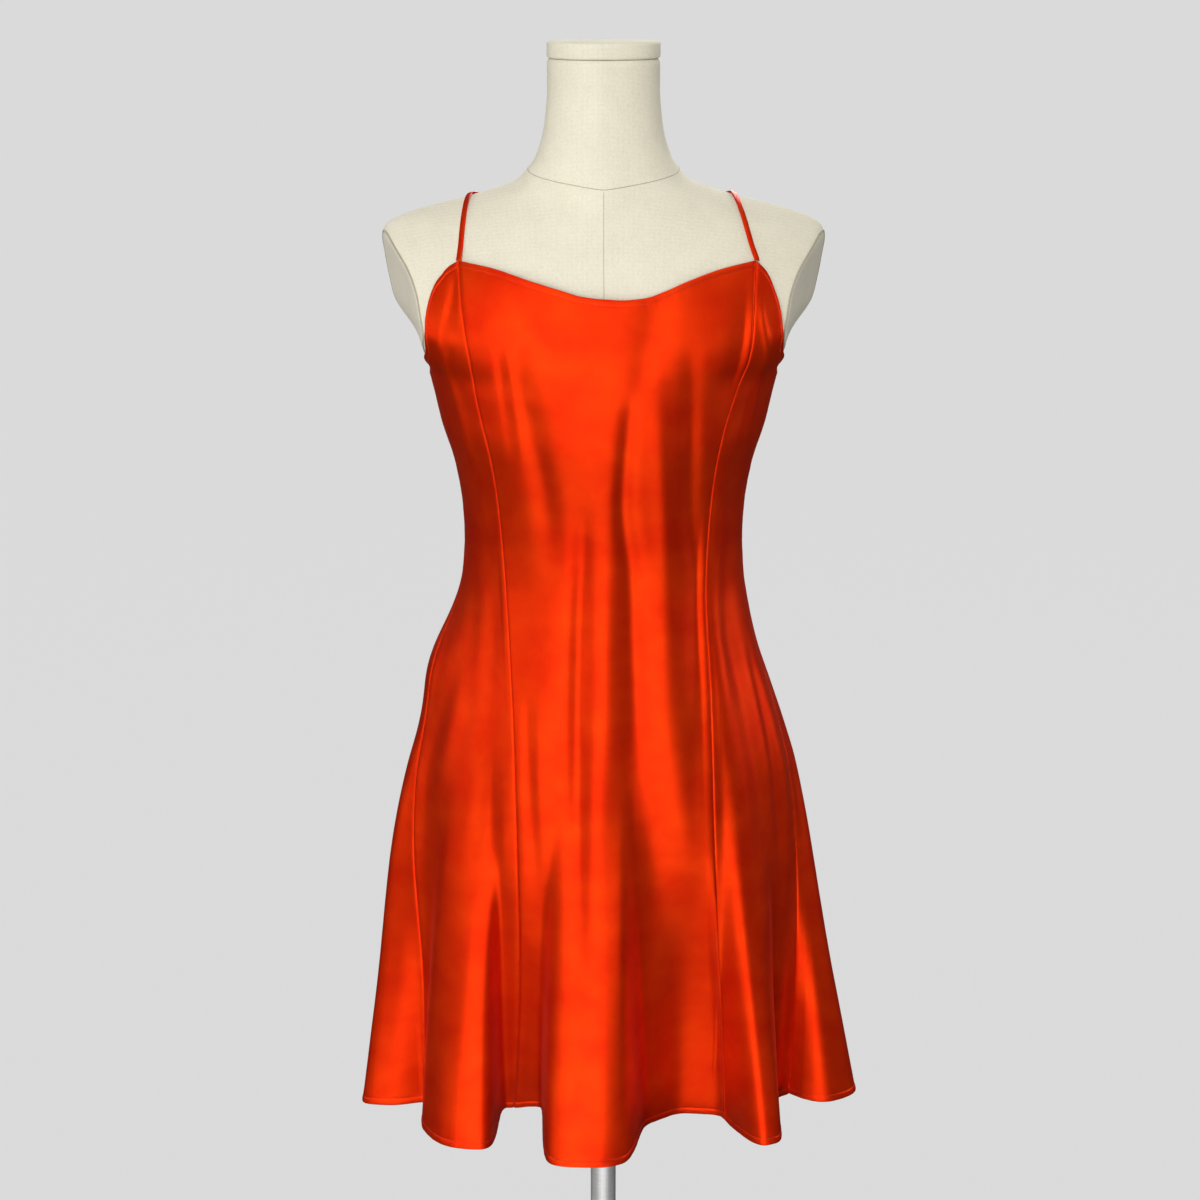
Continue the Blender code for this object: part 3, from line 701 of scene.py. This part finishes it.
creases = {
    "frontCentre": [
        frontCrease((1085, -91, 0, 4.5), (1065, -89.6, 1.6, 4.5), (1040, -87.3, 2.2, 4.5),
            (1010, -83.3, 1.8, 4.5), (975, -79.3, 0, 5)),
        frontCrease((1090, -75.5, 0, 10), (1060, -73.3, 1.8, 10), (1010, -64.2, 3.6, 11),
            (950, -53.2, 3.4, 12), (900, -48.2, 1.4, 12), (860, -46.7, 0, 12)),
        frontCrease((1138, 49.9, 0, 15), (1105, 44, 1.8, 15), (1070, 35.7, 1.6, 13),
            (1035, 29, 0, 10)),
        frontCrease((1045, 24.5, 0, 8), (1014, 22, 2.6, 8), (943, 17.9, 3.6, 8.5),
            (872, 25.2, 4.8, 11), (815, 27.1, 5.6, 12.5), (762, 29.1, 6.2, 13.5), (670, 34, 9, 22),
            (620, 44, 9.8, 28), (570, 56, 10, 34), (465, 70, 8.5, 38), (380, 74, 3, 38),
            (340, 74, 0, 38)),
        frontCrease((1030, 1.2, 0, 11), (943, 1.2, -1.2, 11), (762, 0, -2, 12), (570, -7, -2, 14),
            (460, -8, -1.2, 16), (360, -8, 0, 16)),
        frontCrease((960, -19.5, 0, 8), (900, -19.5, 2.6, 8), (820, -21.9, 3.8, 8),
            (720, -23, 4, 8.5), (620, -23.3, 2.8, 9), (480, -23.3, 0, 10)),
        frontCrease((1085, 76, 0, 8.5), (1050, 76.5, 1.8, 8.5), (1000, 77, 3.2, 8.5),
            (930, 78.5, 3.6, 8.5), (853, 86, 3.6, 10), (815, 86, 3.4, 11), (732, 84.5, 2.6, 11),
            (640, 83, 1.2, 12), (590, 83, 0, 12)),
        frontCrease((1060, 48, 0, 9), (1004, 49, -1.6, 9), (930, 53, -2.2, 9), (853, 57, -2.2, 10),
            (762, 59, -1.6, 11), (660, 62, 0, 12)),
        frontCrease((1130, 129, 0, 10), (1091, 124, 2, 10), (1060, 116.5, 2, 10),
            (1020, 106, 0, 10)),
        frontCrease((770, -68.7, 0, 5), (730, -68.1, 1.6, 5), (670, -66.8, 2, 6),
            (600, -63.6, 1.4, 7), (520, -62, 0, 8)),
    ],
    "frontSideRight": [
        frontCrease((1146, -128, 0, 2.6), (1130, -131, 0.7, 2.6), (1091, -140.1, 0.9, 3.4),
            (1050, -145.2, 0, 4)),
        frontCrease((1146, -127.2, 0, 2.6), (1130, -128.5, 0.8, 2.6), (1091, -134.5, 1, 3.4),
            (1055, -135.7, 0, 4)),
        frontCrease((1100, -146.1, 0, 4), (1077, -143, -1.2, 4), (1004, -124.4, -1.4, 5),
            (945, -116.5, 0, 5)),
        frontCrease((910, -103.9, 0, 12), (853, -102.7, 1.8, 12), (762, -103, 2.4, 13),
            (670, -108.5, 2.4, 14), (570, -115.2, 2, 14), (460, -117, 0, 14)),
        frontCrease((890, -119, 0, 8), (835, -119.2, 1.2, 8), (745, -126.5, 1.6, 9),
            (660, -139.4, 0, 10)),
    ],
    "frontSideLeft": [
        frontCrease((900, 104.6, 0, 9), (817, 113.7, 2.8, 9), (735, 133.8, 3.2, 10),
            (640, 147.1, 2.8, 10), (540, 151.5, 0, 10)),
        frontCrease((1015, 113, 0, 8), (977, 108.8, -1.4, 8), (928, 104.2, -2, 8),
            (853, 103.4, -2, 8), (762, 108.3, -2, 9), (660, 114.8, 0, 10)),
        frontCrease((1125, 135.8, 0, 3.5), (1107, 137.7, -1.2, 3.5), (1075, 143.5, -1.4, 4),
            (1037, 134.8, -1.4, 4), (990, 128, 0, 4)),
        crease((800, 70, 0, 6), (730, 68, 2, 7), (640, 66, 2.4, 8), (540, 66, 0, 8)),
    ],
    "backLeft": [
        crease((1030, 150, 0, 8), (980, 152, 2.5, 8), (900, 150, 3.5, 9), (830, 147, 2, 10),
            (780, 145, 0, 10)),
        crease((900, 168, 0, 8), (850, 166, 3, 9), (760, 163, 3.6, 10), (650, 160, 3, 13),
            (520, 158, 0, 16)),
        crease((880, 128, 0, 8), (820, 126, 3, 9), (720, 122, 3.4, 11), (600, 119, 2.8, 13),
            (500, 117, 0, 15)),
        crease((1020, 120, 0, 6), (970, 124, 2, 6), (920, 130, 2.2, 7), (870, 136, 0, 8)),
        crease((860, 105, 0, 8), (790, 103, 2.8, 9), (700, 101, 3, 11), (590, 100, 0, 13)),
    ],
    "backRight": [
        crease((1025, 208, 0, 8), (970, 206, 2.8, 8), (895, 209, 3.4, 9), (820, 212, 1.8, 10),
            (775, 214, 0, 10)),
        crease((890, 190, 0, 8), (840, 191, 2.6, 9), (750, 194, 3.6, 10), (640, 197, 3, 13),
            (510, 199, 0, 16)),
        crease((885, 230, 0, 8), (815, 232, 3.2, 9), (715, 236, 3.2, 11), (600, 238, 2.4, 13),
            (490, 240, 0, 15)),
        crease((1015, 238, 0, 6), (975, 234, 1.8, 6), (930, 228, 2.2, 7), (880, 222, 0, 8)),
        crease((850, 252, 0, 8), (780, 255, 3, 9), (690, 258, 2.8, 11), (580, 260, 0, 13)),
    ],
}


creaseLimits = {
    "seamFade": 0.010,           # how near a crease comes to a seam
    "looseRoom": 0.03,           # how deep one may be where the skirt hangs free
    "looseBelow": 0.76,
    "fittedAbove": 0.86,
    "softness": 0.0006,
}


def creaseRelief(name, around, height, across, scale, seamDistance):
    limits = creaseLimits
    relief = np.zeros_like(height)
    for line in creases[name]:
        if "across" in line:
            offset = across - through(line, "across", height)
        else:
            offset = (around - through(line, "around", height)) * scale
        relief -= through(line, "depth", height) * bump(offset, through(line, "wide", height))
    relief *= ramp(seamDistance, 0.0, limits["seamFade"])
    # where the dress is fitted, no crease reaches the form under it
    facing = np.cos(np.radians(around))
    room = np.where(facing > 0, through(ease, "front", height), through(ease, "back", height))
    side = through(ease, "side", height)
    loose = 1 - ramp(height, limits["looseBelow"], limits["fittedAbove"])
    room = side + (room - side) * facing ** 2 + limits["looseRoom"] * loose
    return -softMin(-relief, room, limits["softness"])


# Distances of the first rows and columns from a panel's edges
edgeSteps = np.array([0.0, 0.4, 0.9, 1.6, 2.6, 3.8, 5.2, 7.0]) / 1000
topSteps = np.array([0.0, 0.4, 0.9, 1.8, 3.0, 4.0, 4.6, 5.2, 6.0, 7.5]) / 1000
hemSteps = np.array([0.0, 0.4, 1.0, 2.0, 3.5, 4.8, 5.7, 6.2, 6.7, 7.8, 9.5]) / 1000

panels = {
    "frontCentre": {"columns": 118, "rows": 225, "seed": 0.4},
    "frontSideRight": {"columns": 74, "rows": 225, "seed": 1.9},
    "frontSideLeft": {"columns": 74, "rows": 225, "seed": 3.1},
    "backLeft": {"columns": 92, "rows": 200, "seed": 5.3},
    "backRight": {"columns": 92, "rows": 200, "seed": 6.7},
}


def hemShares(low, high, columns):   # a panel's columns, partly spaced by the hem's length
    share = np.linspace(0.0, 1.0, 900)
    run = runAlong(dressInside(low + (high - low) * share, dress["hemHeight"] + 0 * share))
    even = np.linspace(0.0, 1.0, columns)
    follow = dress["followHem"]
    return (1 - follow) * even + follow * np.interp(even, run / run[-1], share)


def slitDrop(share):                 # how far the side panel hangs below the front one by the slit
    return dress["slitDrop"] * (1 - share) * ramp(share, dress["slitDropFrom"], dress["slitDropTo"])


def turnedWidth(low, high, height):
    return np.linalg.norm(dressInside(high, height) - dressInside(low, height), axis=-1)


def panelGrid(name, start, end, topEdge, underlap):
    facts = panels[name]
    turn = 0.5                       # degrees over which the width by the seams is measured
    hem = dress["hemHeight"]
    middle = hemShares(start(np.array(hem)), end(np.array(hem)), facts["columns"])
    edges = len(edgeSteps)
    down = np.linspace(0.0, 1.0, facts["rows"])
    down = np.concatenate((np.zeros(len(topSteps) - 1), down, np.ones(len(hemSteps) - 1)))[:, None]
    fromTop = np.full_like(down, topSteps[-1])
    fromTop[:len(topSteps), 0] = topSteps
    fromHem = np.full_like(down, hemSteps[-1])
    fromHem[-len(hemSteps):, 0] = hemSteps[::-1]
    share = np.concatenate((np.zeros(edges), middle, np.ones(edges)))[None, :] + 0 * down
    for _ in range(3):               # the edge columns stay at fixed distances from the seams
        top = through(topEdge, "height", share) - fromTop
        low = hem + fromHem - (slitDrop(share) if underlap else 0.0)
        height = top + (low - top) * down
        startTurn, endTurn = start(height), end(height)
        width = turnedWidth(startTurn, startTurn + turn, height)
        widthEnd = turnedWidth(endTurn - turn, endTurn, height)
        startTurn = startTurn + 0.5 * dress["seamGap"] * turn / width
        endTurn = endTurn - 0.5 * dress["seamGap"] * turn / widthEnd
        if underlap:
            startTurn = startTurn - dress["slitUnderlap"] * ramp(height, dress["slitTop"], hem)
        span = endTurn - startTurn
        first = edgeSteps[None, :] * turn / width[:, :edges] / span[:, :edges]
        last = 1 - edgeSteps[None, ::-1] * turn / widthEnd[:, -edges:] / span[:, -edges:]
        lowest, highest = first[:, -1:], last[:, :1]
        inset = dress["edgeInset"]
        inside = lowest + (highest - lowest) * (inset + (1 - 2 * inset) * middle[None, :])
        share = np.concatenate((first, inside, last), axis=1)
    around = startTurn + span * share
    topDistance = through(topEdge, "height", share) - height
    hemDistance = height - (hem - slitDrop(share) if underlap else hem)
    return around, height, share, topDistance, hemDistance


# Turned and stitched edges: their width, the rise of the turned cloth, the lip at the very edge,
# the furrow along the stitches and the small wrinkles between
turnedEdges = {
    "hem": {"width": 0.0062, "soft": 0.0008, "rise": 0.00040, "lip": 0.00022, "furrow": 0.00030,
            "furrowWide": 0.0007, "wrinkle": 0.00022, "pitch": 0.0021, "wrinkleAt": 0.004,
            "wrinkleWide": 0.008},
    "top": {"width": 0.0048, "soft": 0.0006, "rise": 0.00030, "lip": 0.00030, "furrow": 0.00025,
            "furrowWide": 0.0006, "wrinkle": 0.00012, "pitch": 0.0019, "wrinkleAt": 0.005,
            "wrinkleWide": 0.006},
    "slit": {"width": 0.0037, "soft": 0.0007, "rise": 0.00025, "lip": 0.00020, "furrow": 0.00022,
             "furrowWide": 0.0006},
}
lipWide = 0.0007
hemSlant = 0.006
slitBlend = (0.004, 0.010)           # below and above the slit's top
seamLook = {"dip": 0.0007, "dipWide": 0.0009, "swell": 0.00012, "swellAt": 0.0045,
            "swellWide": 0.0030, "pucker": 0.00016, "puckerPitch": 0.0027, "puckerWide": 0.009}
drape = {"height": 0.0008, "looseBelow": 0.62, "fittedAbove": 0.90, "seamFade": 0.015}


def turnedEdge(distance, edge):
    inside = 1 - ramp(distance, edge["width"] - edge["soft"], edge["width"] + edge["soft"])
    return (edge["rise"] * inside - edge["lip"] * bump(distance, lipWide)
            - edge["furrow"] * bump(distance - edge["width"], edge["furrowWide"]))


def wrinkles(distance, phase, seed, edge):
    near = bump(distance - edge["wrinkleAt"], edge["wrinkleWide"])
    return edge["wrinkle"] * ripple(phase, seed) * near


def panelRelief(name, around, height, startRun, endRun, topDistance, hemDistance, run):
    seed, look = panels[name]["seed"], seamLook
    hem, top = turnedEdges["hem"], turnedEdges["top"]
    relief = turnedEdge(hemDistance, hem) + turnedEdge(topDistance, top)
    relief += wrinkles(hemDistance, run / hem["pitch"] + hemDistance / hemSlant, seed, hem)
    relief += wrinkles(topDistance, run / top["pitch"], seed + 2, top)
    slit = 1 - ramp(height, dress["slitTop"] - slitBlend[0], dress["slitTop"] + slitBlend[1])
    for distance, side in ((startRun, 0), (endRun, 1)):
        sewn = 1.0
        if (name, side) in (("frontCentre", 1), ("frontSideLeft", 0)):
            sewn = 1 - slit
            relief += slit * turnedEdge(distance, turnedEdges["slit"])
        pucker = ripple(height / look["puckerPitch"] + 3 * side, seed + side)
        relief += sewn * (look["swell"] * bump(distance - look["swellAt"], look["swellWide"])
                          - look["dip"] * bump(distance, look["dipWide"])
                          + look["pucker"] * pucker * bump(distance, look["puckerWide"]))
    loose = 1 - ramp(height, drape["looseBelow"], drape["fittedAbove"])
    away = ramp(np.minimum(startRun, endRun), 0.0, drape["seamFade"])
    waves = (np.sin(around * 0.23 + height * 9.0 + seed)
             + 0.6 * np.sin(around * 0.41 - height * 14.0 + 2 * seed))
    return relief + drape["height"] * loose * away * waves


def addPanel(name, node, start, end, topEdge, underlap):
    around, height, share, topDistance, hemDistance = panelGrid(name, start, end, topEdge, underlap)
    seamEdge = start(height) if underlap else None
    base, normal = facePoint(around, height, dress["outside"] + 0 * around, seamEdge)
    steps = np.linalg.norm(np.diff(base, axis=1, prepend=base[:, :1]), axis=-1)
    run = np.cumsum(steps, axis=1)
    startRun, endRun = run, run[:, -1:] - run
    scale = np.gradient(run, axis=1) / np.gradient(around, axis=1)
    relief = panelRelief(name, around, height, startRun, endRun, topDistance, hemDistance, run)
    relief += creaseRelief(name, around, height, base[..., 0], scale, np.minimum(startRun, endRun))
    points = base + relief[..., None] * normal
    rows, columns = height.shape
    middle = run[:, columns // 2:columns // 2 + 1]
    uvs = np.stack([0.5 + (run - middle) * dress["mapShare"], height], axis=-1).reshape(-1, 2)
    piece = newPiece(name, points.reshape(-1, 3), gridFaces(rows, columns), satin, uvs)
    wall = piece.modifiers.new("cloth", "SOLIDIFY")
    wall.thickness = dress["cloth"]
    wall.offset = -1.0
    applyModifiers(piece)
    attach(piece, "root")
    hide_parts(node)
    print(name, "is widest at", round(float(run[:, -1].max()), 3), "m")
    return piece, points, normal


rightPrincess, leftPrincess = princessSeam(princessRight), princessSeam(princessLeft)
made = {}
for name, node, start, end, topEdge in (
        ("frontCentre", "front_centre", rightPrincess, leftPrincess, neckline),
        ("frontSideLeft", "front_side_left", leftPrincess, sideSeam("left"), armholeLeft),
        ("frontSideRight", "front_side_right", sideSeam("right"), rightPrincess, armholeRight),
        ("backLeft", "back_left", sideSeam("left"), backSeam, backEdgeLeft),
        ("backRight", "back_right", backSeam, sideSeam("right", 360.0), backEdgeRight)):
    made[name] = addPanel(name, node, start, end, topEdge, underlap=name == "frontSideLeft")
print("the dress's panels are sewn")

# Stitches of the dress. A stitch's size is its length, pitch and radius.
stitch = {"size": (0.0021, 0.0029, 0.00016), "fromTop": 0.0046, "fromSlit": 0.0038}
hemRow = -1 - int(np.searchsorted(hemSteps, turnedEdges["hem"]["width"]))
topRow = int(np.searchsorted(topSteps, stitch["fromTop"]))
slitColumn = -1 - int(np.searchsorted(edgeSteps, stitch["fromSlit"]))
for name, (piece, points, normal) in made.items():
    runs = [(points[hemRow], normal[hemRow]), (points[topRow], normal[topRow])]
    if name == "frontCentre":
        low = points[:, slitColumn, 2] < dress["slitTop"]
        runs.append((points[low, slitColumn], normal[low, slitColumn]))
    points, faces = stitchMesh(runs, *stitch["size"])
    sewing = newPiece(name + "Stitches", points, faces, redThread)
    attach(sewing, "root")
print("hems and edges are stitched")

# The form's body
formBody = {"around": 240, "step": 0.0034, "coarseStep": 0.008, "coarseBelow": 1.02,
            "bottom": 0.600, "firstRings": (0.0, 0.003, 0.006), "top": 1.3217, "sharpFrom": 55.0}


def addFormBody():
    facts = formBody
    first = facts["bottom"] + np.array(facts["firstRings"])
    fine = np.arange(facts["coarseBelow"], facts["top"], facts["step"])
    coarse = np.arange(first[-1], facts["coarseBelow"], facts["coarseStep"])
    heights = np.concatenate((first[:-1], coarse, fine, [facts["top"]]))[::-1]
    around = np.arange(facts["around"]) * 360.0 / facts["around"]
    turned, level = np.meshgrid(around, heights)
    points = torsoPoint(turned, level)
    piece = newPiece("formBody", points.reshape(-1, 3), closedFaces(*level.shape), linen)
    piece.data.set_sharp_from_angle(angle=math.radians(facts["sharpFrom"]))
    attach(piece, "root")
    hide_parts("form_torso")


addFormBody()

piping = {"low": 1.052, "high": 1.210, "step": 0.0012, "evenedOver": 7, "radius": 0.0011,
          "sink": 0.0003, "corners": 10}


def torsoLine(around, height):
    return torsoPoint(around, height), surfaceNormal(torsoPoint, around, height, 0.4, 0.001)


def evened(values, count):           # each value becomes the mean of those around it
    ends = count // 2
    padded = np.pad(values, ((ends, ends), (0, 0)), "edge")
    kernel = np.ones(count) / count
    return np.stack([np.convolve(column, kernel, "valid") for column in padded.T], axis=1)


def plateOutline(sign):              # where the flat plate meets the body, front and back
    around = np.linspace(12.0, 168.0, 1561)
    front, back = [], []
    for height in np.arange(piping["low"], piping["high"], piping["step"]):
        x, y = torsoSection(around, height)
        outside = np.nonzero(x > plateLimit(y, height, 0.0))[0]
        if len(outside) > 3:
            front.append((around[outside[0]], height))
            back.append((around[outside[-1]], height))
    path = evened(np.array(front + back[::-1]), piping["evenedOver"])
    points, normal = torsoLine(path[:, 0], path[:, 1])
    return points * [sign, 1, 1], normal * [sign, 1, 1]


for name, sign in (("armPipingLeft", 1.0), ("armPipingRight", -1.0)):
    addCord(name, *plateOutline(sign), piping)

neckSeam = table("around height", [
    (-180, 1233), (-120, 1230), (-60, 1221.5), (-30, 1216.5), (0, 1212.2), (30, 1216.5),
    (60, 1221.5), (120, 1230), (180, 1233),
])
formSewing = {
    "frontHeights": (1.2102, 1.112, 90),
    "backHeights": (1.232, 1.040, 150),
    "frontTurn": 0.01,          # just off the centre, where a point of the surface is doubled
    "stitch": (0.0022, 0.0042, 0.00035),
    "radius": 0.0004,
    "sink": 0.0002,
    "corners": 8,
}

turnRound = np.linspace(-180.0, 180.0, 361)
neckRun = torsoLine(turnRound, through(neckSeam, "height", turnRound))
frontHeights = np.linspace(*formSewing["frontHeights"])
frontRun = torsoLine(formSewing["frontTurn"] + 0 * frontHeights, frontHeights)
backHeights = np.linspace(*formSewing["backHeights"])
backRun = torsoLine(180.0 + 0 * backHeights, backHeights)
points, faces = stitchMesh([neckRun], *formSewing["stitch"])
formStitches = newPiece("formStitches", points, faces, paleThread)
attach(formStitches, "root")
addCord("formFrontSeam", *frontRun, formSewing)
addCord("formBackSeam", *backRun, formSewing)
addCord("formNeckSeam", *neckRun, formSewing)
print("the form has its body and seams")

# Neck cap and base
neckCap = {"sides": 160, "rounding": 0.0030, "segments": 5, "sharpFrom": 40.0}
standBase = {"sides": 192, "rounding": 0.0034, "segments": 5, "sharpFrom": 40.0}


def addDisc(name, node, material, facts):
    low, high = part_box(node)
    bpy.ops.object.select_all(action="DESELECT")
    bpy.ops.mesh.primitive_cylinder_add(vertices=facts["sides"], radius=(high.x - low.x) / 2,
                                        depth=high.z - low.z, location=(0, 0, (low.z + high.z) / 2))
    disc = bpy.context.object
    disc.name = disc.data.name = name
    bpy.ops.object.transform_apply(location=True, rotation=True, scale=True)
    edge = disc.modifiers.new("rounded edge", "BEVEL")
    edge.width = facts["rounding"]
    edge.segments = facts["segments"]
    edge.limit_method = "ANGLE"
    applyModifiers(disc)
    disc.select_set(True)
    bpy.ops.object.shade_smooth_by_angle(angle=math.radians(facts["sharpFrom"]))
    disc.select_set(False)
    disc.data.materials.append(material)
    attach(disc, "root")
    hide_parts(node)
    return disc


cap = addDisc("neckCapTop", "neck_cap", linen, neckCap)
base = addDisc("standBasePlate", "stand_base", steel, standBase)
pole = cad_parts["stand_pole"]
pole.data.materials.clear()
pole.data.materials.append(steel)
print("cap, pole and base are finished")

# Straps
straps = {
    "width": 0.0050, "thickness": 0.0012, "steps": 260, "chestLine": 1.100,
    "frontEnd": 1.1500, "backEnd": 1.0470, "lift": 0.0004, "ridgeLift": 0.0008,
    "ridge": 90.0, "ridgeWidth": 20.0, "endLift": 0.0020, "endLength": 7.0, "crossing": 0.0015,
    "crossingWidth": 0.020, "behindShoulder": 110.0, "evenedOver": 5, "corners": 16,
    "squareness": 0.7,
}
strapRightPath = table("over across", [
    (36.3, -126.2), (60, -124.5), (85, -121), (98, -114), (130, -72), (167, 0), (205.5, 62),
])
strapLeftPath = table("over across", [
    (38, 133.5), (60, 126), (85, 117.5), (98, 112), (130, 72), (167, 0), (205.5, -62),
])


def shoulderSurface():
    around, height = np.meshgrid(np.linspace(0.0, 360.0, 481), np.linspace(0.98, 1.26, 421))
    points = torsoPoint(around, height).reshape(-1, 3)
    return BVHTree.FromPolygons(points.tolist(), gridFaces(*around.shape))


def overAt(surface, across, height, fromBack):
    spot = surface.ray_cast(Vector((across, fromBack, height)), Vector((0.0, -fromBack, 0.0)))[0]
    return math.degrees(math.atan2(height - straps["chestLine"], -spot.y)) % 360.0


def addStrap(name, node, path, crossing, surface):
    first = overAt(surface, path["across"][0], straps["frontEnd"], -1.0)
    last = overAt(surface, path["across"][-1], straps["backEnd"], 1.0)
    centres, normals = [], []
    for over in np.linspace(first, last, straps["steps"] + 1):
        across = through(path, "across", over).item()
        angle = math.radians(over)
        outwards = Vector((0.0, -math.cos(angle), math.sin(angle)))
        start = Vector((across, 0.0, straps["chestLine"])) + 0.5 * outwards
        spot, normal, _, _ = surface.ray_cast(start, -outwards)
        if normal.dot(outwards) < 0:
            normal = -normal
        fromRidge = (over - straps["ridge"]) / straps["ridgeWidth"]
        lift = straps["lift"] + straps["ridgeLift"] * math.exp(-fromRidge ** 2)
        fromEnd = min(over - first, last - over) / straps["endLength"]
        lift += straps["endLift"] * math.exp(-fromEnd ** 2)
        if over > straps["behindShoulder"]:
            lift += crossing * math.exp(-(across / straps["crossingWidth"]) ** 2)
        centres.append(np.array(spot + (lift + straps["thickness"] / 2) * normal))
        normals.append(np.array(normal))
    line = np.array(centres)
    up = unitVectors(evened(np.array(normals), straps["evenedOver"]))
    corners, power = straps["corners"], straps["squareness"]
    angle = np.arange(corners) * 2 * math.pi / corners
    across = np.sign(np.cos(angle)) * np.abs(np.cos(angle)) ** power * straps["width"] / 2
    height = np.sign(np.sin(angle)) * np.abs(np.sin(angle)) ** power * straps["thickness"] / 2
    points, faces = sweep(line, up, across, height)
    run = runAlong(line)
    uvs = np.stack(np.meshgrid(0.5 + across, run), axis=-1).reshape(-1, 2)
    piece = newPiece(name, points, faces, satin, uvs)
    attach(piece, "root")
    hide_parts(node)
    return piece


shoulders = shoulderSurface()
strapRight = addStrap("strapRight", "strap_right", strapRightPath, 0.0, shoulders)
strapLeft = addStrap("strapLeft", "strap_left", strapLeftPath, straps["crossing"], shoulders)
print("the straps lie over the shoulders")

low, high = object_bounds()
